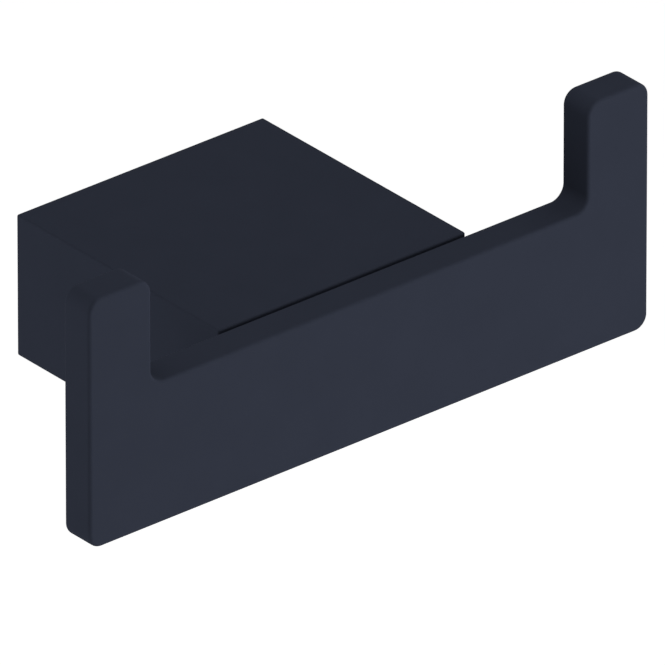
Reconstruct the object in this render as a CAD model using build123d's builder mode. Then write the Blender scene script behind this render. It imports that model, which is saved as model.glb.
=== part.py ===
from build123d import *
import os

# Robe hook: a flat front plate with two upturned prongs, carried by a hollow square post.
# The post hangs on a bracket that is screwed to the wall, and a grub screw locks it there.
# Millimetres. The origin is on the wall, at the middle of the post's back.
# +X runs along the plate, +Y goes into the wall and +Z is up.

os.makedirs("parts", exist_ok=True)

# Hook plate
plate_length = 90.5
plate_height = 35.0
plate_thickness = 5.0
bar_height = 20.0  # the plate between its prongs, and the post behind it
prong_width = 10.0
plate_corner_radius = 2.0  # seen from the front, at every corner of the outline
plate_edge_radius = 0.5  # all along the front and back edges

# Post housing
housing_width = 40.0
housing_depth = 40.0
housing_wall = 3.0
front_wall = 5.0  # carries the plate
housing_edge_radius = 0.3
shadow_gap = 0.5  # the dark joint between the housing's body and the plate
joint_inset = 1.5  # how far the plate's seat lies in from the housing's sides
cavity_corner_radius = 1.0

# Lip inside the housing, which hooks over the bracket's shoulder
lip_thickness = 2.7  # at its tip, from the wall forwards
lip_engagement = 1.5  # how far it reaches down behind the shoulder
lip_clearance = 0.2  # from its tip to the bracket's neck
lift_clearance = 0.3  # spare height when the housing is lifted over the bracket

# Wall bracket
bracket_depth = 8.0
bracket_side_clearance = 1.0
bracket_top_clearance = 0.8
bracket_edge_radius = 0.5  # round its front face
ramp_back = 1.0  # where the grub screw's ramp starts, from the wall
ramp_front = 6.0  # where it ends
ramp_rise = 1.5
wall_slot_spacing = 18.0
wall_slot_length = 7.0
wall_slot_width = 4.8  # for a 4 mm wall screw
head_recess_width = 8.4  # for that screw's head
head_recess_depth = 2.0

# Screws that hold the plate: M4 with a hexagon socket in the head
plate_screw_spacing = 24.0
screw_radius = 2.0
screw_hole_radius = 2.25  # through the housing's front wall
screw_head_radius = 3.5
screw_head_height = 4.0
screw_head_chamfer = 0.4
screw_socket_flats = 3.0
screw_socket_depth = 2.0
screw_end_chamfer = 0.4
screw_end_clearance = 0.3  # in the bottom of the tapped hole
spot_face_radius = 4.0
spot_face_depth = 0.5
plate_skin = 1.2  # metal left in front of the tapped holes
thread_clearance = 0.05  # between a screw and its tapped hole

# Grub screw: M4 with a cone point and a hexagon socket
grub_radius = 2.0
grub_point_radius = 0.5
grub_point_length = 1.2
grub_socket_flats = 2.0
grub_socket_depth = 2.0
grub_end_chamfer = 0.3
grub_recess = 0.4  # below the housing's underside
grub_seat_clearance = 0.2
grub_mouth_chamfer = 0.3

# Heights and depths that follow from them
housing_height = bar_height
underside = -housing_height / 2
bar_top = housing_height / 2
cavity_width = housing_width - 2 * housing_wall
cavity_height = housing_height - 2 * housing_wall
cavity_depth = housing_depth - front_wall
cavity_roof = cavity_height / 2
cavity_floor = -cavity_height / 2

shoulder_top = cavity_roof - bracket_top_clearance
lip_tip = shoulder_top - lip_engagement
neck_top = lip_tip - lip_clearance
neck_depth = lip_thickness - lip_clearance
bracket_foot = cavity_floor + lip_engagement + lift_clearance
neck_foot = bracket_foot + ramp_rise
bracket_width = cavity_width - 2 * bracket_side_clearance

grub_depth = (ramp_back + ramp_front) / 2
grub_tip = (bracket_foot + neck_foot) / 2 - grub_seat_clearance
grub_length = grub_tip - underside - grub_recess

tapped_depth = plate_thickness - plate_skin
screw_head_seat = cavity_depth + spot_face_depth
screw_length = housing_depth - screw_head_seat + tapped_depth - screw_end_clearance

# Planes that face the wall: the plate's seat on the housing, and the front wall's inner face
plate_seat = Plane(origin=(0, -housing_depth, 0), x_dir=(1, 0, 0), z_dir=(0, 1, 0))
inner_face = Plane(origin=(0, -cavity_depth, 0), x_dir=(1, 0, 0), z_dir=(0, 1, 0))

# Plane on the housing's underside, facing down at the grub screw
grub_mouth = Plane(origin=(0, -grub_depth, underside), x_dir=(1, 0, 0), z_dir=(0, 0, -1))

# Hook plate, with blind tapped holes in its back
with BuildPart() as hook_plate:
    with BuildSketch(Plane.XZ.offset(housing_depth)) as plate_outline:
        with Locations((0, underside)):
            Rectangle(plate_length, plate_height, align=(Align.CENTER, Align.MIN))
        with Locations((0, bar_top)):
            Rectangle(
                plate_length - 2 * prong_width,
                plate_height - bar_height,
                align=(Align.CENTER, Align.MIN),
                mode=Mode.SUBTRACT,
            )
        fillet(plate_outline.vertices(), plate_corner_radius)
    extrude(amount=plate_thickness)
    fillet(hook_plate.faces().filter_by(Axis.Y).edges(), plate_edge_radius)
    with Locations(plate_seat):
        with GridLocations(plate_screw_spacing, 0, 2, 1):
            Hole(screw_radius + thread_clearance, depth=tapped_depth)

hook_plate.part.label = "hook_plate"
export_step(hook_plate.part, "parts/hook_plate.step")

# Post housing: one casting, open towards the wall, with the lip along the top of its mouth
with BuildPart() as post_housing:
    with BuildSketch(Plane.XZ):
        Rectangle(housing_width, housing_height)
    extrude(amount=housing_depth - shadow_gap)
    fillet(post_housing.edges(), housing_edge_radius)
    # The plate's seat stands proud of the body, which leaves a shadow gap all round it.
    with BuildSketch(Plane.XZ.offset(housing_depth - shadow_gap)):
        Rectangle(housing_width - 2 * joint_inset, housing_height - 2 * joint_inset)
    extrude(amount=shadow_gap)
    with BuildSketch(Plane.XZ):
        RectangleRounded(cavity_width, cavity_height, cavity_corner_radius)
    extrude(amount=cavity_depth, mode=Mode.SUBTRACT)
    # The lip's front slopes at 45 degrees, so that it draws the housing to the wall.
    with BuildSketch(Plane.YZ) as lip_section:
        lip_root = cavity_roof + housing_wall / 2
        with BuildLine():
            Polyline(
                (0, lip_root),
                (0, lip_tip),
                (-lip_thickness, lip_tip),
                (-lip_thickness - (lip_root - lip_tip), lip_root),
                close=True,
            )
        make_face()
    extrude(amount=(cavity_width + housing_wall) / 2, both=True)
    with Locations(inner_face):
        with GridLocations(plate_screw_spacing, 0, 2, 1):
            CounterBoreHole(screw_hole_radius, spot_face_radius, spot_face_depth, depth=front_wall)
    with Locations(grub_mouth):
        Hole(grub_radius + thread_clearance, depth=housing_wall)
    mouth_edge = post_housing.edges().filter_by(GeomType.CIRCLE).sort_by(Axis.Z)[0]
    chamfer(mouth_edge, grub_mouth_chamfer)

post_housing.part.label = "post_housing"
export_step(post_housing.part, "parts/post_housing.step")

# Wall bracket: a bevelled shoulder on top, a ramp for the grub screw below, two slots for wall screws
with BuildPart() as wall_bracket:
    with BuildSketch(Plane.YZ) as bracket_section:
        with BuildLine():
            Polyline(
                (0, neck_foot),
                (0, neck_top),
                (-neck_depth, neck_top),
                (-neck_depth - (shoulder_top - neck_top), shoulder_top),
                (-bracket_depth, shoulder_top),
                (-bracket_depth, bracket_foot),
                (-ramp_front, bracket_foot),
                (-ramp_back, neck_foot),
                close=True,
            )
        make_face()
    extrude(amount=bracket_width / 2, both=True)
    fillet(wall_bracket.faces().sort_by(Axis.Y)[0].edges(), bracket_edge_radius)
    with BuildSketch(Plane.XZ):
        with GridLocations(wall_slot_spacing, 0, 2, 1):
            SlotOverall(wall_slot_length, wall_slot_width)
    extrude(amount=bracket_depth, mode=Mode.SUBTRACT)
    with BuildSketch(Plane.XZ.offset(bracket_depth)):
        with GridLocations(wall_slot_spacing, 0, 2, 1):
            SlotOverall(wall_slot_length + head_recess_width - wall_slot_width, head_recess_width)
    extrude(amount=-head_recess_depth, mode=Mode.SUBTRACT)

wall_bracket.part.label = "wall_bracket"
export_step(wall_bracket.part, "parts/wall_bracket.step")

# Grub screw: comes up through the housing's floor and bears on the bracket's ramp
with BuildPart() as grub_screw:
    with BuildSketch(Plane.YZ) as grub_section:
        with BuildLine():
            Polyline(
                (-grub_depth, grub_tip),
                (-grub_depth + grub_point_radius, grub_tip),
                (-grub_depth + grub_radius, grub_tip - grub_point_length),
                (-grub_depth + grub_radius, grub_tip - grub_length + grub_end_chamfer),
                (-grub_depth + grub_radius - grub_end_chamfer, grub_tip - grub_length),
                (-grub_depth, grub_tip - grub_length),
                close=True,
            )
        make_face()
    revolve(axis=Axis((0, -grub_depth, 0), (0, 0, 1)))
    with BuildSketch(grub_mouth.offset(-grub_recess)):
        RegularPolygon(grub_socket_flats / 2, side_count=6, major_radius=False)
    extrude(amount=-grub_socket_depth, mode=Mode.SUBTRACT)

grub_screw.part.label = "grub_screw"
export_step(grub_screw.part, "parts/grub_screw.step")

# Plate screws: their heads bear on the spot faces inside the housing
for side, screw_x in (("left", -plate_screw_spacing / 2), ("right", plate_screw_spacing / 2)):
    head_seat = Plane(origin=(screw_x, -screw_head_seat, 0), x_dir=(1, 0, 0), z_dir=(0, 1, 0))
    with BuildPart() as plate_screw:
        with BuildSketch(head_seat):
            Circle(screw_head_radius)
        extrude(amount=screw_head_height)
        chamfer(plate_screw.edges().sort_by(Axis.Y)[-1], screw_head_chamfer)
        with BuildSketch(head_seat):
            Circle(screw_radius)
        extrude(amount=-screw_length)
        chamfer(plate_screw.edges().filter_by(GeomType.CIRCLE).sort_by(Axis.Y)[0], screw_end_chamfer)
        with BuildSketch(head_seat.offset(screw_head_height)):
            RegularPolygon(screw_socket_flats / 2, side_count=6, major_radius=False)
        extrude(amount=-screw_socket_depth, mode=Mode.SUBTRACT)
    plate_screw.part.label = f"plate_screw_{side}"
    export_step(plate_screw.part, f"parts/plate_screw_{side}.step")
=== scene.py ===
"""Dresses a wall-mounted robe hook with two prongs.

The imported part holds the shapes: a flat front plate, the hollow post behind it and the bracket in
the post's open back. This script coats them, puts threaded screws in the places of the plain ones,
and lights the hook in a plain pale studio.

Lengths are metres in the part's own frame: the origin is on the wall at the middle of the post's
back, +X runs along the plate to the right, +Y goes into the wall and +Z is up.
"""

import logging
import math
from dataclasses import dataclass, field
from enum import Enum

import bmesh
import bpy
from mathutils import Matrix, Vector


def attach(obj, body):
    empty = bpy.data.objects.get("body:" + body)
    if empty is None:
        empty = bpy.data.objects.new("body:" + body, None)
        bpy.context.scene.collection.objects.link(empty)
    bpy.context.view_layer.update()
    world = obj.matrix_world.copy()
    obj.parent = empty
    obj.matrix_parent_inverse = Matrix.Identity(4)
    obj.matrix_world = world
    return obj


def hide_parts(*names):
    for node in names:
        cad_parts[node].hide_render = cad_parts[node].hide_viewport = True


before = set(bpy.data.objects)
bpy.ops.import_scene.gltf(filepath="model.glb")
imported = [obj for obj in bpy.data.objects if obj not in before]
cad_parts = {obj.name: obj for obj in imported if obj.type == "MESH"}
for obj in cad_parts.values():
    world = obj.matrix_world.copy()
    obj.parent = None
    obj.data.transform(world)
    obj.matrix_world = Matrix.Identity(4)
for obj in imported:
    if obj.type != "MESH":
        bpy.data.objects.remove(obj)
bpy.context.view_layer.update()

LOG = logging.getLogger("robe_hook")
ROOT_BODY = "root"
MM = 0.001
TURN = 2 * math.pi
WHITE = (1.0, 1.0, 1.0, 1.0)

Colour = tuple[float, float, float]
Input = bpy.types.NodeSocket | tuple[float, ...] | float | int
Fields = dict[str, float | int | bpy.types.Material]


class Node(str, Enum):
    """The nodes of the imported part."""

    HOOK_PLATE = "hook_plate"
    POST_HOUSING = "post_housing"
    WALL_BRACKET = "wall_bracket"
    GRUB_SCREW = "grub_screw"
    PLATE_SCREW_LEFT = "plate_screw_left"
    PLATE_SCREW_RIGHT = "plate_screw_right"


class Slot(str, Enum):
    """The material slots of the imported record."""

    MATT_BLACK_PAINT = "matt_black_paint"
    BARE_CASTING = "bare_casting"
    BLACK_OXIDE_STEEL = "black_oxide_steel"
    BRIGHT_STEEL = "bright_steel"


class RingShape(Enum):
    """The outline of one ring of a turned piece."""

    ROUND = "round"
    HEXAGON = "hexagon"


# Shared by all parts of the script


class NodeWork:
    """A node tree, with short methods that add nodes to it and feed them."""

    def __init__(self, tree: bpy.types.NodeTree) -> None:
        """Keeps the tree.

        Args:
            tree: The node tree of a material, a world or a modifier.
        """
        self.tree = tree

    def node(self, kind: str) -> bpy.types.Node:
        """Returns a new node of that kind."""
        return self.tree.nodes.new(kind)

    def feed(self, target: bpy.types.NodeSocket, value: Input) -> None:
        """Links a socket to the target, or sets the target to a value.

        Args:
            target: The input that is fed.
            value: What feeds it.
        """
        if isinstance(value, bpy.types.NodeSocket):
            self.tree.links.new(value, target)
        else:
            target.default_value = value

    def math(self, operation: str, *values: Input) -> bpy.types.NodeSocket:
        """Adds one sum to the tree.

        Args:
            operation: The Math node's operation.
            *values: Its inputs, sockets or numbers.

        Returns:
            The result.
        """
        sum_node = self.node("ShaderNodeMath")
        sum_node.operation = operation
        for target, value in zip(sum_node.inputs, values):
            self.feed(target, value)
        return sum_node.outputs["Value"]

    def seen(self, *rays: str) -> bpy.types.NodeSocket:
        """Tells which rays see a surface.

        Args:
            *rays: The Light Path outputs that count.

        Returns:
            A socket that is 1 for those rays and 0 for all others.
        """
        path = self.node("ShaderNodeLightPath").outputs
        seen = path[rays[0]]
        for ray in rays[1:]:
            seen = self.math("MAXIMUM", seen, path[ray])
        return seen


def new_object(name: str, data: bpy.types.ID) -> bpy.types.Object:
    """Adds an object to the scene.

    Args:
        name: The object's name.
        data: Its mesh, lamp or camera.

    Returns:
        The object.
    """
    added = bpy.data.objects.new(name, data)
    bpy.context.scene.collection.objects.link(added)
    return added


def direction(azimuth: float, elevation: float) -> Vector:
    """Gives the direction from the hook towards a lamp or the camera.

    Args:
        azimuth: Degrees round the hook: 0 in front of the plate, 90 at its right end.
        elevation: Degrees above the horizon.

    Returns:
        The direction, of length 1.
    """
    turn, rise = math.radians(azimuth), math.radians(elevation)
    level = math.cos(rise)
    return Vector((math.sin(turn) * level, -math.cos(turn) * level, math.sin(rise)))


# Finishes


class Surface(NodeWork):
    """A material with one Principled shader, and short methods for the nodes that feed it.

    Attributes:
        MIDDLE: Where most of a noise pattern lies, from its dark parts to its light ones.
    """

    MIDDLE = (0.3, 0.7)

    def __init__(self, name: str) -> None:
        """Starts a material with nothing but its shader.

        Args:
            name: The material's name.
        """
        self.material = bpy.data.materials.new(name)
        self.material.use_nodes = True
        super().__init__(self.material.node_tree)
        self.tree.nodes.clear()
        self.shader = self.node("ShaderNodeBsdfPrincipled")
        output = self.node("ShaderNodeOutputMaterial")
        self.feed(output.inputs["Surface"], self.shader.outputs["BSDF"])
        self.place = self.node("ShaderNodeTexCoord").outputs["Object"]

    def constant(self, **values: float | tuple[float, ...]) -> None:
        """Sets numbers and colours on the shader's own sockets.

        Args:
            **values: A value for each socket, with the socket's name in snake case.
        """
        for name, value in values.items():
            wanted = name.replace("_", " ")
            socket = next(s for s in self.shader.inputs if s.name.lower() == wanted)
            socket.default_value = value

    def drive(self, name: str, source: bpy.types.NodeSocket) -> None:
        """Links a source to one of the shader's sockets.

        Args:
            name: The shader socket's name.
            source: What feeds it.
        """
        self.feed(self.shader.inputs[name], source)

    def stretched(self, factors: Vector) -> bpy.types.NodeSocket:
        """Multiplies object coordinates along each axis.

        Args:
            factors: One factor for each axis, more than 1 for a finer pattern along it.

        Returns:
            The multiplied coordinates.
        """
        mapping = self.node("ShaderNodeMapping")
        mapping.inputs["Scale"].default_value = factors
        self.feed(mapping.inputs["Vector"], self.place)
        return mapping.outputs["Vector"]

    def noise(
        self, grain: float, detail: float = 2.0, place: bpy.types.NodeSocket | None = None
    ) -> bpy.types.NodeSocket:
        """Adds a noise pattern.

        Args:
            grain: The size of one blot, in metres.
            detail: How many finer layers lie on top.
            place: The coordinates to read, or None for the object's own.

        Returns:
            The pattern, from 0 to 1.
        """
        noise = self.node("ShaderNodeTexNoise")
        self.feed(noise.inputs["Vector"], place or self.place)
        noise.inputs["Scale"].default_value = 1 / grain
        noise.inputs["Detail"].default_value = detail
        return noise.outputs["Fac"]

    def cells(self, grain: float) -> bpy.types.NodeSocket:
        """Adds a pattern of soft round dimples.

        Args:
            grain: The distance from one dimple to the next, in metres.

        Returns:
            The pattern, from 0 at the dimples' middles.
        """
        cells = self.node("ShaderNodeTexVoronoi")
        cells.feature = "SMOOTH_F1"
        self.feed(cells.inputs["Vector"], self.place)
        cells.inputs["Scale"].default_value = 1 / grain
        return cells.outputs["Distance"]

    def between(
        self, pattern: bpy.types.NodeSocket, low: float, high: float
    ) -> bpy.types.NodeSocket:
        """Spreads a pattern's middle part over a range.

        Args:
            pattern: The pattern, from 0 to 1.
            low: What its dark parts become.
            high: What its light parts become.

        Returns:
            The spread pattern.
        """
        spread = self.node("ShaderNodeMapRange")
        self.feed(spread.inputs["Value"], pattern)
        names = ("From Min", "From Max", "To Min", "To Max")
        for name, value in zip(names, (*self.MIDDLE, low, high)):
            spread.inputs[name].default_value = value
        return spread.outputs["Result"]

    def tones(
        self, pattern: bpy.types.NodeSocket, colour: Colour, spread: float
    ) -> bpy.types.NodeSocket:
        """Mixes a lighter and a darker tone of one colour.

        Args:
            pattern: Where each tone shows, from 0 to 1.
            colour: The colour between the two tones.
            spread: How far each tone lies from it, as a share of the colour.

        Returns:
            The mixed colour.
        """
        mix = self.node("ShaderNodeMix")
        mix.data_type = "RGBA"
        self.feed(mix.inputs["Factor"], pattern)
        for name, share in (("A", 1 - spread), ("B", 1 + spread)):
            socket = next(s for s in mix.inputs if s.name == name and s.type == "RGBA")
            socket.default_value = (*(channel * share for channel in colour), 1)
        return next(s for s in mix.outputs if s.type == "RGBA")

    def relief(
        self,
        pattern: bpy.types.NodeSocket,
        height: float,
        below: bpy.types.NodeSocket | None = None,
    ) -> bpy.types.NodeSocket:
        """Raises a pattern from the surface.

        Args:
            pattern: The pattern's heights, from 0 to 1.
            height: How high 1 stands, in metres.
            below: The relief that it lies on, if any.

        Returns:
            The bumped normal.
        """
        bump = self.node("ShaderNodeBump")
        bump.inputs["Strength"].default_value = 1
        bump.inputs["Distance"].default_value = height
        self.feed(bump.inputs["Height"], pattern)
        if below is not None:
            self.feed(bump.inputs["Normal"], below)
        return bump.outputs["Normal"]


@dataclass(frozen=True)
class Finish:
    """What all finishes share.

    Attributes:
        slot: The record's slot that the finish belongs to.
        colour: The base colour, linear.
        colour_spread: How far light and dark tones lie from it, as a share.
        colour_grain: The size of those tones' patches.
        roughness: The lowest and highest roughness.
        roughness_grain: The size of its patches.
    """

    slot: Slot
    colour: Colour
    colour_spread: float
    colour_grain: float
    roughness: tuple[float, float]
    roughness_grain: float

    def make(self) -> bpy.types.Material:
        """Makes the finish's material.

        Returns:
            The material.
        """
        surface = Surface(f"{self.slot.value}_finish")
        patches = surface.between(surface.noise(self.colour_grain), 0, 1)
        surface.drive("Base Color", surface.tones(patches, self.colour, self.colour_spread))
        dulling = surface.noise(self.roughness_grain, detail=3)
        surface.drive("Roughness", surface.between(dulling, *self.roughness))
        self.detail(surface)
        return surface.material

    def detail(self, surface: Surface) -> None:
        """Adds what only this finish has.

        Args:
            surface: The material that is being made.
        """
        raise NotImplementedError


@dataclass(frozen=True)
class PowderCoat(Finish):
    """Matt powder coat, cured to a faint orange-peel skin.

    Attributes:
        gloss: The specular level, low on a matt coat.
        skin_grain: The size of the skin's dimples.
        skin_height: Their height.
        powder_grain: The size of the finest grain.
        powder_height: Its height.
    """

    slot: Slot = Slot.MATT_BLACK_PAINT
    colour: Colour = (0.0285, 0.0331, 0.0488)
    colour_spread: float = 0.02
    colour_grain: float = 6 * MM
    roughness: tuple[float, float] = (0.7, 0.76)
    roughness_grain: float = 0.8 * MM
    gloss: float = 0.002
    skin_grain: float = 1.1 * MM
    skin_height: float = 0.006 * MM
    powder_grain: float = 0.18 * MM
    powder_height: float = 0.0015 * MM

    def detail(self, surface: Surface) -> None:
        """Adds the skin and the powder's grain.

        Args:
            surface: The material that is being made.
        """
        surface.constant(metallic=0, specular_ior_level=self.gloss)
        skin = surface.relief(surface.noise(self.skin_grain, detail=1), self.skin_height)
        powder = surface.noise(self.powder_grain, detail=2)
        surface.drive("Normal", surface.relief(powder, self.powder_height, below=skin))


@dataclass(frozen=True)
class BareCasting(Finish):
    """Die-cast zinc, tumbled and left bare.

    Attributes:
        dent_grain: The distance between the dents of the tumbling.
        dent_depth: Their depth.
        cast_grain: The size of the casting's grain.
        cast_height: Its height.
    """

    slot: Slot = Slot.BARE_CASTING
    colour: Colour = (0.5, 0.5, 0.5)
    colour_spread: float = 0.12
    colour_grain: float = 2.5 * MM
    roughness: tuple[float, float] = (0.42, 0.62)
    roughness_grain: float = 0.8 * MM
    dent_grain: float = 0.9 * MM
    dent_depth: float = 0.02 * MM
    cast_grain: float = 0.15 * MM
    cast_height: float = 0.006 * MM

    def detail(self, surface: Surface) -> None:
        """Adds the dents and the grain.

        Args:
            surface: The material that is being made.
        """
        surface.constant(metallic=1)
        dents = surface.relief(surface.cells(self.dent_grain), self.dent_depth)
        grain = surface.noise(self.cast_grain, detail=4)
        surface.drive("Normal", surface.relief(grain, self.cast_height, below=dents))


@dataclass(frozen=True)
class PlatedSteel(Finish):
    """Turned and rolled steel under thin bright plating.

    Attributes:
        lines_height: The height of the fine lines that the tool leaves round the axis.
        lines_grain: Their width.
        lines_share: How fine the lines' pattern is off the axis, as a share of along it.
        axis: The screw's axis, across the lines.
    """

    slot: Slot = Slot.BRIGHT_STEEL
    colour: Colour = (0.6, 0.6, 0.58)
    colour_spread: float = 0.06
    colour_grain: float = 1.2 * MM
    roughness: tuple[float, float] = (0.24, 0.36)
    roughness_grain: float = 0.5 * MM
    lines_height: float = 0.0008 * MM
    lines_grain: float = 0.06 * MM
    lines_share: float = 0.1
    axis: Vector = field(default_factory=lambda: Vector((0, 1, 0)))

    def detail(self, surface: Surface) -> None:
        """Adds the tool's lines.

        Args:
            surface: The material that is being made.
        """
        surface.constant(metallic=1)
        off_axis = Vector((1, 1, 1)) * self.lines_share
        along = surface.stretched(off_axis + (1 - self.lines_share) * self.axis)
        lines = surface.noise(self.lines_grain, detail=1, place=along)
        surface.drive("Normal", surface.relief(lines, self.lines_height))


@dataclass(frozen=True)
class BlackOxide(PlatedSteel):
    """Turned steel under black oxide, on a screw that stands upright."""

    slot: Slot = Slot.BLACK_OXIDE_STEEL
    colour: Colour = (0.04, 0.04, 0.042)
    colour_spread: float = 0.15
    roughness: tuple[float, float] = (0.32, 0.46)
    axis: Vector = field(default_factory=lambda: Vector((0, 0, 1)))


# Screws


class GeometryTree(NodeWork):
    """A Geometry Nodes tree with named inputs that ends in Realize Instances and Set Material."""

    def __init__(self, name: str, lengths: tuple[str, ...], counts: tuple[str, ...] = ()) -> None:
        """Starts a tree that takes a mesh, the named numbers and a material.

        Args:
            name: The tree's name.
            lengths: The names of its inputs in metres.
            counts: The names of its whole-number inputs.
        """
        super().__init__(bpy.data.node_groups.new(name, "GeometryNodeTree"))
        face = self.tree.interface
        face.new_socket("Geometry", in_out="INPUT", socket_type="NodeSocketGeometry")
        for label in lengths:
            face.new_socket(label, in_out="INPUT", socket_type="NodeSocketFloat")
        for label in counts:
            face.new_socket(label, in_out="INPUT", socket_type="NodeSocketInt")
        face.new_socket("Material", in_out="INPUT", socket_type="NodeSocketMaterial")
        face.new_socket("Geometry", in_out="OUTPUT", socket_type="NodeSocketGeometry")
        self.given = self.node("NodeGroupInput").outputs
        self.build()

    def build(self) -> None:
        raise NotImplementedError

    def ramp(self, value: Input, start: Input, end: Input) -> bpy.types.NodeSocket:
        """Adds a smooth rise.

        Args:
            value: What is measured.
            start: Where the rise starts.
            end: Where it ends.

        Returns:
            0 up to the start, 1 from the end on, and the rise between them.
        """
        ramp = self.node("ShaderNodeMapRange")
        ramp.interpolation_type = "SMOOTHSTEP"
        for name, source in (("Value", value), ("From Min", start), ("From Max", end)):
            self.feed(ramp.inputs[name], source)
        return ramp.outputs["Result"]

    def finish(self, geometry: bpy.types.NodeSocket) -> None:
        """Ends the tree in Realize Instances and Set Material.

        Args:
            geometry: The geometry that the tree has made.
        """
        realize = self.node("GeometryNodeRealizeInstances")
        paint = self.node("GeometryNodeSetMaterial")
        output = self.node("NodeGroupOutput")
        self.feed(realize.inputs["Geometry"], geometry)
        self.feed(paint.inputs["Geometry"], realize.outputs["Geometry"])
        self.feed(paint.inputs["Material"], self.given["Material"])
        self.feed(output.inputs["Geometry"], paint.outputs["Geometry"])

    def apply(self, piece: bpy.types.Object, values: Fields) -> None:
        """Runs the tree on a piece and leaves the result as the piece's plain mesh.

        Args:
            piece: The object whose mesh goes in.
            values: A value for each named input.
        """
        modifier = piece.modifiers.new(self.tree.name, "NODES")
        modifier.node_group = self.tree
        identifiers = {
            item.name: item.identifier
            for item in self.tree.interface.items_tree
            if item.in_out == "INPUT"
        }
        for name, value in values.items():
            modifier[identifiers[name]] = value
        graph = bpy.context.evaluated_depsgraph_get()
        result = bpy.data.meshes.new_from_object(piece.evaluated_get(graph), depsgraph=graph)
        piece.modifiers.remove(modifier)
        blank = piece.data
        piece.data = result
        bpy.data.meshes.remove(blank)


class ScrewTree(GeometryTree):
    """Cuts a right-handed thread and a straight knurl into a turned blank along Z.

    A point of the blank moves in to the thread's surface where that lies further in, so chamfers,
    points and sockets keep their shape.

    Attributes:
        LENGTHS: The names of its inputs in metres.
        COUNTS: The names of its whole-number inputs.
        CREST_SHARE: The flat crest's width, as a share of the pitch.
        ROOT_SHARE: The flat root's width, as a share of the pitch.
        LEAST_RADIUS: What a point on the axis is divided by in place of 0.
    """

    LENGTHS = (
        "Pitch",
        "Major Radius",
        "Thread Depth",
        "Thread Top",
        "Runout",
        "Knurl Depth",
        "Knurl Radius",
        "Knurl Bottom",
        "Knurl Top",
    )
    COUNTS = ("Knurl Count",)
    CREST_SHARE = 1 / 8
    ROOT_SHARE = 1 / 4
    LEAST_RADIUS = 1e-9

    def __init__(self) -> None:
        """Builds the tree."""
        super().__init__("thread_and_knurl", self.LENGTHS, self.COUNTS)

    def build(self) -> None:
        """Adds the thread, the knurl and the move to their surface."""
        position = self.node("GeometryNodeInputPosition")
        parts = self.node("ShaderNodeSeparateXYZ")
        self.feed(parts.inputs["Vector"], position.outputs["Position"])
        x, y, height = (parts.outputs[axis] for axis in "XYZ")
        squares = (self.math("MULTIPLY", x, x), self.math("MULTIPLY", y, y))
        radius = self.math("SQRT", self.math("ADD", *squares))
        turns = self.math("DIVIDE", self.math("ARCTAN2", y, x), TURN)
        surface = self.math("MINIMUM", radius, self.thread(height, turns))
        surface = self.math("SUBTRACT", surface, self.knurl(height, radius, turns))
        scale = self.math("DIVIDE", surface, self.math("MAXIMUM", radius, self.LEAST_RADIUS))
        moved = self.node("ShaderNodeCombineXYZ")
        self.feed(moved.inputs["X"], self.math("MULTIPLY", x, scale))
        self.feed(moved.inputs["Y"], self.math("MULTIPLY", y, scale))
        self.feed(moved.inputs["Z"], height)
        place = self.node("GeometryNodeSetPosition")
        self.feed(place.inputs["Geometry"], self.given["Geometry"])
        self.feed(place.inputs["Position"], moved.outputs["Vector"])
        self.finish(place.outputs["Geometry"])

    def wave(self, phase: bpy.types.NodeSocket) -> bpy.types.NodeSocket:
        """Returns a triangle wave: 1 where the phase is whole, 0 halfway to the next whole one."""
        from_half = self.math("ABSOLUTE", self.math("SUBTRACT", self.math("FRACT", phase), 0.5))
        return self.math("MULTIPLY", from_half, 2)

    def thread(
        self, height: bpy.types.NodeSocket, turns: bpy.types.NodeSocket
    ) -> bpy.types.NodeSocket:
        """Works out the thread's surface.

        Args:
            height: A point's height along the screw.
            turns: Its angle round the screw, in turns.

        Returns:
            The thread's radius there, very large above the thread.
        """
        given = self.given
        phase = self.math("SUBTRACT", self.math("DIVIDE", height, given["Pitch"]), turns)
        root_start, crest_end = 1 - self.ROOT_SHARE, self.CREST_SHARE
        flank = self.math("SUBTRACT", self.wave(phase), crest_end)
        share = self.math("DIVIDE", flank, root_start - crest_end)
        share = self.math("MINIMUM", self.math("MAXIMUM", share, 0), 1)
        run_start = self.math("SUBTRACT", given["Thread Top"], given["Runout"])
        fade = self.math("SUBTRACT", 1, self.ramp(height, run_start, given["Thread Top"]))
        depth = self.math("MULTIPLY", self.math("MULTIPLY", given["Thread Depth"], share), fade)
        above = self.math("GREATER_THAN", height, given["Thread Top"])
        cut = self.math("SUBTRACT", given["Major Radius"], depth)
        return self.math("ADD", cut, above)

    def knurl(
        self,
        height: bpy.types.NodeSocket,
        radius: bpy.types.NodeSocket,
        turns: bpy.types.NodeSocket,
    ) -> bpy.types.NodeSocket:
        """Works out the knurl's depth.

        Args:
            height: A point's height along the screw.
            radius: Its distance from the axis.
            turns: Its angle round the screw, in turns.

        Returns:
            The depth, 0 away from the head's side.
        """
        given = self.given
        ridges = self.wave(self.math("MULTIPLY", turns, given["Knurl Count"]))
        on_side = self.math("GREATER_THAN", radius, given["Knurl Radius"])
        over = self.math("GREATER_THAN", height, given["Knurl Bottom"])
        under = self.math("LESS_THAN", height, given["Knurl Top"])
        where = self.math("MULTIPLY", on_side, self.math("MULTIPLY", over, under))
        return self.math("MULTIPLY", self.math("MULTIPLY", ridges, given["Knurl Depth"]), where)


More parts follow.
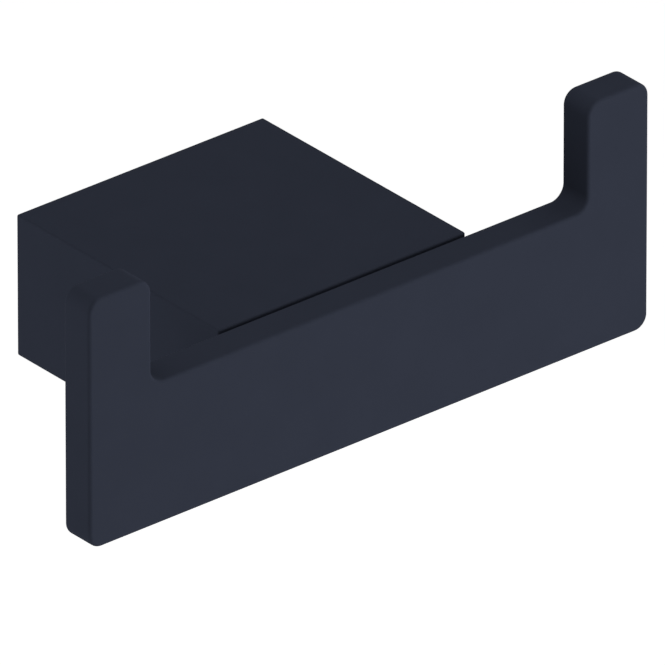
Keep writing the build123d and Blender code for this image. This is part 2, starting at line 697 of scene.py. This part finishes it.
@dataclass(frozen=True)
class Ring:
    """One ring of a turned blank.

    Attributes:
        height: Its height along the axis.
        radius: Its radius, half the width across flats of a hexagon, or 0 for a pole.
        shape: Its outline.
    """

    height: float
    radius: float
    shape: RingShape = RingShape.ROUND

    def point(self, angle: float) -> Vector:
        """Finds one point of the ring.

        Args:
            angle: The point's angle round the axis.

        Returns:
            The point.
        """
        reach = self.radius
        if self.shape is RingShape.HEXAGON:
            reach /= math.cos(angle % (TURN / 6) - TURN / 12)
        return Vector((reach * math.cos(angle), reach * math.sin(angle), self.height))


def rounded(centre: Ring, radius: float, sweep: float, steps: int = 5) -> list[Ring]:
    """Makes the rings of an arc that starts in the axis' own direction.

    Args:
        centre: The arc's centre, as a height and a radius from the axis.
        radius: The arc's radius.
        sweep: How far it turns, outwards or, below 0, inwards, in degrees.
        steps: How many straight steps it has.

    Returns:
        The rings along the arc, both ends among them.
    """
    rings = []
    for step in range(steps + 1):
        angle = math.radians(sweep * step / steps)
        height = centre.height + radius * math.cos(angle)
        rings.append(Ring(height, centre.radius + radius * math.sin(angle)))
    return rings


def divided(rings: list[Ring], step: float, slack: float = 1e-6) -> list[Ring]:
    """Adds rings between the given ones.

    Args:
        rings: The rings at the outline's corners.
        step: The longest distance between two rings along the axis.
        slack: What share of a step a stretch may be longer, so that rounding adds no ring.

    Returns:
        The corners, with as many rings between each two as the step asks for.
    """
    finer = [rings[0]]
    for last, following in zip(rings, rings[1:]):
        count = max(1, math.ceil(abs(following.height - last.height) / step - slack))
        for index in range(1, count + 1):
            share = index / count
            finer.append(
                Ring(
                    last.height + share * (following.height - last.height),
                    last.radius + share * (following.radius - last.radius),
                )
            )
    return finer


def turned(name: str, rings: list[Ring], segments: int) -> bpy.types.Mesh:
    """Joins rings to a closed mesh.

    Args:
        name: The mesh's name.
        rings: The rings in order, with a pole at each end.
        segments: How many points each ring has.

    Returns:
        The mesh, with its faces outwards.
    """
    shape = bmesh.new()
    rows = []
    for ring in rings:
        angles = [0.0] if ring.radius == 0 else [TURN * k / segments for k in range(segments)]
        rows.append([shape.verts.new(ring.point(angle)) for angle in angles])
    for row, following in zip(rows, rows[1:]):
        for k in range(segments):
            corners = (row[k % len(row)], row[(k + 1) % len(row)])
            corners += (following[(k + 1) % len(following)], following[k % len(following)])
            # A pole comes up twice among the corners, and once in its triangle.
            shape.faces.new(dict.fromkeys(corners))
    bmesh.ops.recalc_face_normals(shape, faces=shape.faces)
    mesh = bpy.data.meshes.new(name)
    shape.to_mesh(mesh)
    shape.free()
    return mesh


@dataclass(frozen=True)
class ThreadedScrew:
    """A metric screw with a hexagon socket, turned as a blank and then threaded.

    The blank stands along its own Z with the socket's mouth up. A finished screw lies in the
    part's frame and stands for its plain CAD solid.

    Attributes:
        name: The piece's name.
        node: The CAD node that it stands for.
        finish: Its finish.
        radius: The thread's major radius.
        pitch: The thread's pitch.
        thread_depth: From crest to root.
        runout: The length over which the thread fades out.
        socket_flats: The socket's width across flats.
        socket_depth: The depth of its flats.
        socket_lead: The depth of the chamfer at its mouth.
        drill_angle: The angle of the drill point under the socket, from its base, in degrees.
        segments: How many points each ring has, a multiple of 12.
        rings_per_pitch: How many rings each turn of the thread has.
        sharp_angle: The angle between two faces, in degrees, past which their edge is sharp.
    """

    name: str
    node: Node
    finish: Finish
    radius: float = 2.0 * MM
    pitch: float = 0.7 * MM
    thread_depth: float = 0.429 * MM
    runout: float = 0.7 * MM
    socket_flats: float = 3.0 * MM
    socket_depth: float = 2.0 * MM
    socket_lead: float = 0.15 * MM
    drill_angle: float = 30.0
    segments: int = 96
    rings_per_pitch: int = 16
    sharp_angle: float = 32.0

    def socket(self, top: float) -> list[Ring]:
        """Makes the rings of the socket, from its drill point up to its mouth.

        Args:
            top: The height of the mouth.

        Returns:
            The rings, the first of them a pole.
        """
        half = self.socket_flats / 2
        floor = top - self.socket_depth
        corner = half / math.cos(TURN / 12)
        return [
            Ring(floor - half * math.tan(math.radians(self.drill_angle)), 0),
            Ring(floor, half, RingShape.HEXAGON),
            Ring(top - self.socket_lead, half, RingShape.HEXAGON),
            Ring(top, corner + self.socket_lead),
        ]

    def outline(self) -> list[Ring]:
        """Returns the rings of the whole blank."""
        raise NotImplementedError

    def place(self) -> Matrix:
        """Returns the matrix from the blank's own axes to the part's frame."""
        raise NotImplementedError

    def fields(self) -> Fields:
        """Returns the values of the thread's inputs."""
        return {
            "Pitch": self.pitch,
            "Major Radius": self.radius,
            "Thread Depth": self.thread_depth,
            "Runout": self.runout,
        }

    def build(self, tree: ScrewTree, material: bpy.types.Material) -> bpy.types.Object:
        """Makes the screw and puts it in the place of its CAD solid.

        Args:
            tree: The tree that cuts the thread.
            material: The finish as a material.

        Returns:
            The finished piece.
        """
        piece = new_object(self.name, turned(self.name, self.outline(), self.segments))
        tree.apply(piece, self.fields() | {"Material": material})
        piece.data.name = self.name
        piece.data.transform(self.place())
        piece.data.shade_smooth()
        piece.data.set_sharp_from_angle(angle=math.radians(self.sharp_angle))
        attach(piece, ROOT_BODY)
        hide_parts(self.node.value)
        return piece


@dataclass(frozen=True)
class PlateScrew(ThreadedScrew):
    """A socket head screw that holds the plate, with its head inside the post.

    Attributes:
        across: Its distance from the middle of the post, along X.
        seat: How far its head's seat lies from the wall.
        length: Its length under the head.
        head_radius: The head's radius.
        head_height: The head's height.
        head_round: The rounded edge at the head's top.
        head_chamfer: The chamfer at its foot.
        neck_round: The fillet under the head.
        plain_neck: The length under the head that the thread doesn't reach.
        end_chamfer: The chamfer at the screw's end.
        knurl_margin: The plain strips above and below the knurl.
        knurl_edge: How far from each end of the knurl the rings above and below that end lie.
        knurl_depth: The knurl's depth.
    """

    across: float = 12.0 * MM
    seat: float = 35.5 * MM
    length: float = 8.0 * MM
    head_radius: float = 3.5 * MM
    head_height: float = 4.0 * MM
    head_round: float = 0.4 * MM
    head_chamfer: float = 0.15 * MM
    neck_round: float = 0.2 * MM
    plain_neck: float = 0.6 * MM
    end_chamfer: float = 0.4 * MM
    knurl_margin: float = 0.6 * MM
    knurl_edge: float = 0.05 * MM
    knurl_depth: float = 0.07 * MM

    def outline(self) -> list[Ring]:
        """Makes the rings of head, neck and shank.

        Returns:
            The rings, from the socket's pole to the pole at the screw's end.
        """
        top_edge = Ring(self.head_height - self.head_round, self.head_radius - self.head_round)
        neck_edge = Ring(-self.neck_round, self.radius + self.neck_round)
        knurl = (self.head_height - self.knurl_margin, self.knurl_margin)
        side = [
            Ring(height + shift, self.head_radius)
            for height in knurl
            for shift in (self.knurl_edge, -self.knurl_edge)
        ]
        shank = divided(
            [
                Ring(-self.plain_neck, self.radius),
                Ring(-self.length + self.end_chamfer, self.radius),
                Ring(-self.length, self.radius - self.end_chamfer),
            ],
            self.pitch / self.rings_per_pitch,
        )
        return [
            *self.socket(self.head_height),
            *rounded(top_edge, self.head_round, sweep=90),
            *side,
            Ring(self.head_chamfer, self.head_radius),
            Ring(0, self.head_radius - self.head_chamfer),
            *rounded(neck_edge, self.neck_round, sweep=-90),
            *shank,
            Ring(-self.length, 0),
        ]

    def place(self) -> Matrix:
        """Returns the turn that points the socket at the wall, and the move to the seat."""
        return Matrix.Translation((self.across, -self.seat, 0)) @ Matrix.Rotation(-TURN / 4, 4, "X")

    def fields(self) -> Fields:
        """Returns the values of the thread's and the knurl's inputs."""
        return super().fields() | {
            "Thread Top": -self.plain_neck,
            "Knurl Depth": self.knurl_depth,
            "Knurl Radius": self.head_radius - self.knurl_depth,
            "Knurl Bottom": self.knurl_margin,
            "Knurl Top": self.head_height - self.knurl_margin,
            "Knurl Count": self.segments // 2,
        }


@dataclass(frozen=True)
class GrubScrew(ThreadedScrew):
    """The socket set screw under the post, with a cone point that bears on the bracket's ramp.

    Attributes:
        behind: How far its axis lies from the wall.
        foot: The height of its socket's mouth.
        length: Its length.
        socket_flats: The socket's width across flats.
        point_radius: The radius of the cone's blunt tip.
        point_length: The cone's length.
        end_chamfer: The chamfer at the socket's end.
    """

    behind: float = 3.5 * MM
    foot: float = -9.6 * MM
    length: float = 4.95 * MM
    socket_flats: float = 2.0 * MM
    point_radius: float = 0.5 * MM
    point_length: float = 1.2 * MM
    end_chamfer: float = 0.3 * MM

    def outline(self) -> list[Ring]:
        """Makes the rings of socket, shank and point.

        Returns:
            The rings, from the socket's pole to the pole at the cone's tip.
        """
        shank = divided(
            [
                Ring(0, self.radius - self.end_chamfer),
                Ring(-self.end_chamfer, self.radius),
                Ring(-self.length + self.point_length, self.radius),
                Ring(-self.length, self.point_radius),
            ],
            self.pitch / self.rings_per_pitch,
        )
        return [*self.socket(0), *shank, Ring(-self.length, 0)]

    def place(self) -> Matrix:
        """Returns the turn that points the socket down, and the move into the post's floor."""
        return Matrix.Translation((0, -self.behind, self.foot)) @ Matrix.Rotation(TURN / 2, 4, "X")

    def fields(self) -> Fields:
        """Returns the values of the inputs for a thread up to the mouth, and none for a knurl."""
        return super().fields() | {"Thread Top": self.runout}


# Cast pieces


@dataclass(frozen=True)
class CastPiece:
    """A CAD node that keeps its shape and gets a finish.

    Attributes:
        node: The node.
        finish: Its finish.
    """

    node: Node
    finish: Finish

    def dress(self, material: bpy.types.Material) -> bpy.types.Object:
        """Gives every material slot of the node the finish.

        Args:
            material: The finish as a material.

        Returns:
            The node's object.
        """
        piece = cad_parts[self.node.value]
        for slot in piece.material_slots:
            slot.material = material
        return piece


# Studio


@dataclass(frozen=True)
class SoftBox:
    """A square soft lamp that faces the hook.

    Attributes:
        name: Its name.
        azimuth: Degrees round the hook, 0 in front of the plate.
        elevation: Degrees above the horizon.
        distance: From the hook's middle.
        width: Its side.
        watts: Its power.
    """

    name: str
    azimuth: float
    elevation: float
    distance: float
    width: float
    watts: float

    def place(self, target: Vector) -> None:
        """Puts the lamp in the scene.

        Args:
            target: The point that it faces.
        """
        light = bpy.data.lights.new(self.name, "AREA")
        light.shape = "SQUARE"
        light.size = self.width
        light.energy = self.watts
        lamp = new_object(self.name, light)
        out = direction(self.azimuth, self.elevation)
        lamp.location = target + out * self.distance
        lamp.rotation_euler = out.to_track_quat("Z", "Y").to_euler()
        lamp.visible_camera = False


@dataclass(frozen=True)
class FarCamera:
    """A camera far away with a very long lens, for the parallel lines of the photograph.

    Attributes:
        azimuth: Degrees round the hook, 0 in front of the plate.
        elevation: Degrees above the horizon.
        distance: From the origin, along the view.
        across: How far the picture's middle lies right of the origin.
        up: How far it lies above it.
        half_angle: Half the picture's width, in degrees.
        sensor: The sensor's width, in millimetres.
        reach: How far the camera sees.
    """

    azimuth: float = -39.8822
    elevation: float = 28.5977
    distance: float = 3.8475115
    across: float = 0.0240864
    up: float = -0.0121066
    half_angle: float = 0.62
    sensor: float = 36.0
    reach: float = 30.0

    def place(self) -> None:
        """Puts the camera in the scene and makes it the scene's own."""
        optics = bpy.data.cameras.new("camera")
        optics.sensor_width = self.sensor
        optics.lens = self.sensor / 2 / math.tan(math.radians(self.half_angle))
        optics.clip_end = self.reach
        turn = math.radians(self.azimuth)
        right = Vector((math.cos(turn), math.sin(turn), 0))
        back = direction(self.azimuth, self.elevation)
        camera = new_object("camera", optics)
        camera.location = right * self.across + back.cross(right) * self.up + back * self.distance
        camera.rotation_euler = back.to_track_quat("Z", "Y").to_euler()
        bpy.context.scene.camera = camera


@dataclass(frozen=True)
class Studio:
    """A pale room with soft lamps, where the hook hangs clear of the floor.

    Attributes:
        target: The point that the lamps face.
        ambient: The level of light that comes from everywhere.
        floor_height: The floor's height.
        floor_half: Half the floor's side.
        floor_colour: The floor's own colour.
        floor_roughness: Its roughness.
        floor_glow: What the camera sees on top of the floor's lit colour.
        camera: The camera.
        lamps: The lamps, each with its name, azimuth, elevation, distance, width and watts.
    """

    target: Vector = field(default_factory=lambda: Vector((0, -30 * MM, 0)))
    ambient: float = 0.4
    floor_height: float = -0.6
    floor_half: float = 3.0
    floor_colour: Colour = (0.8, 0.8, 0.8)
    floor_roughness: float = 0.9
    floor_glow: float = 0.615
    camera: FarCamera = FarCamera()
    lamps: tuple[SoftBox, ...] = (
        SoftBox("key_low", 30, -15, 0.8, 0.5, 4.55),
        SoftBox("key_high", 30, 15, 0.8, 0.5, 0.75),
        SoftBox("top_left", -90, 80, 0.9, 0.5, 1.62),
        SoftBox("top_right", 90, 60, 0.9, 0.5, 0.74),
        SoftBox("left_low", -120, -20, 0.7, 0.35, 2.1),
        SoftBox("right", 100, 15, 0.9, 0.6, 1.0),
        SoftBox("back_low", 165, -30, 0.8, 0.4, 1.2),
    )

    def light(self) -> None:
        """Lights the room: lamps, and a world that is white wherever it is seen."""
        for lamp in self.lamps:
            lamp.place(self.target)
        world = bpy.data.worlds.new("pale_room")
        world.use_nodes = True
        bpy.context.scene.world = world
        sky = NodeWork(world.node_tree)
        sky.tree.nodes.clear()
        level = sky.node("ShaderNodeMapRange")
        sky.feed(level.inputs["To Min"], self.ambient)
        seen = sky.seen("Is Camera Ray", "Is Glossy Ray", "Is Transmission Ray")
        sky.feed(level.inputs["Value"], seen)
        background = sky.node("ShaderNodeBackground")
        sky.feed(background.inputs["Color"], WHITE)
        sky.feed(background.inputs["Strength"], level.outputs["Result"])
        output = sky.node("ShaderNodeOutputWorld")
        sky.feed(output.inputs["Surface"], background.outputs["Background"])

    def lay_floor(self) -> None:
        """Lays the floor, pale where it is lit and darker only where the hook shades it."""
        shape = bmesh.new()
        bmesh.ops.create_grid(shape, x_segments=1, y_segments=1, size=self.floor_half)
        mesh = bpy.data.meshes.new("floor")
        shape.to_mesh(mesh)
        shape.free()
        surface = Surface("pale_floor")
        surface.constant(
            base_color=(*self.floor_colour, 1),
            roughness=self.floor_roughness,
            specular_ior_level=0,
            emission_color=WHITE,
        )
        glow = surface.math("MULTIPLY", surface.seen("Is Camera Ray"), self.floor_glow)
        surface.drive("Emission Strength", glow)
        mesh.materials.append(surface.material)
        floor = new_object("floor", mesh)
        floor.location.z = self.floor_height


def main() -> None:
    """Builds, dresses and lights the hook, and reports each piece."""
    logging.basicConfig(level=logging.INFO, format="%(name)s: %(message)s")
    coat, casting, plating, oxide = PowderCoat(), BareCasting(), PlatedSteel(), BlackOxide()
    materials = {finish.slot: finish.make() for finish in (coat, casting, plating, oxide)}

    for cast in (
        CastPiece(Node.HOOK_PLATE, coat),
        CastPiece(Node.POST_HOUSING, coat),
        CastPiece(Node.WALL_BRACKET, casting),
    ):
        piece = cast.dress(materials[cast.finish.slot])
        LOG.info("%s: %d faces, %s", piece.name, len(piece.data.polygons), cast.finish.slot.value)

    tree = ScrewTree()
    for screw in (
        PlateScrew("left_plate_screw", Node.PLATE_SCREW_LEFT, plating, across=-PlateScrew.across),
        PlateScrew("right_plate_screw", Node.PLATE_SCREW_RIGHT, plating),
        GrubScrew("threaded_grub_screw", Node.GRUB_SCREW, oxide),
    ):
        piece = screw.build(tree, materials[screw.finish.slot])
        LOG.info("%s: %d faces, %s", piece.name, len(piece.data.polygons), screw.finish.slot.value)

    studio = Studio()
    studio.light()
    studio.lay_floor()
    studio.camera.place()
    bpy.context.scene.view_settings.view_transform = "Standard"
    LOG.info("studio: %d lamps", len(studio.lamps))


if __name__ == "__main__":
    main()
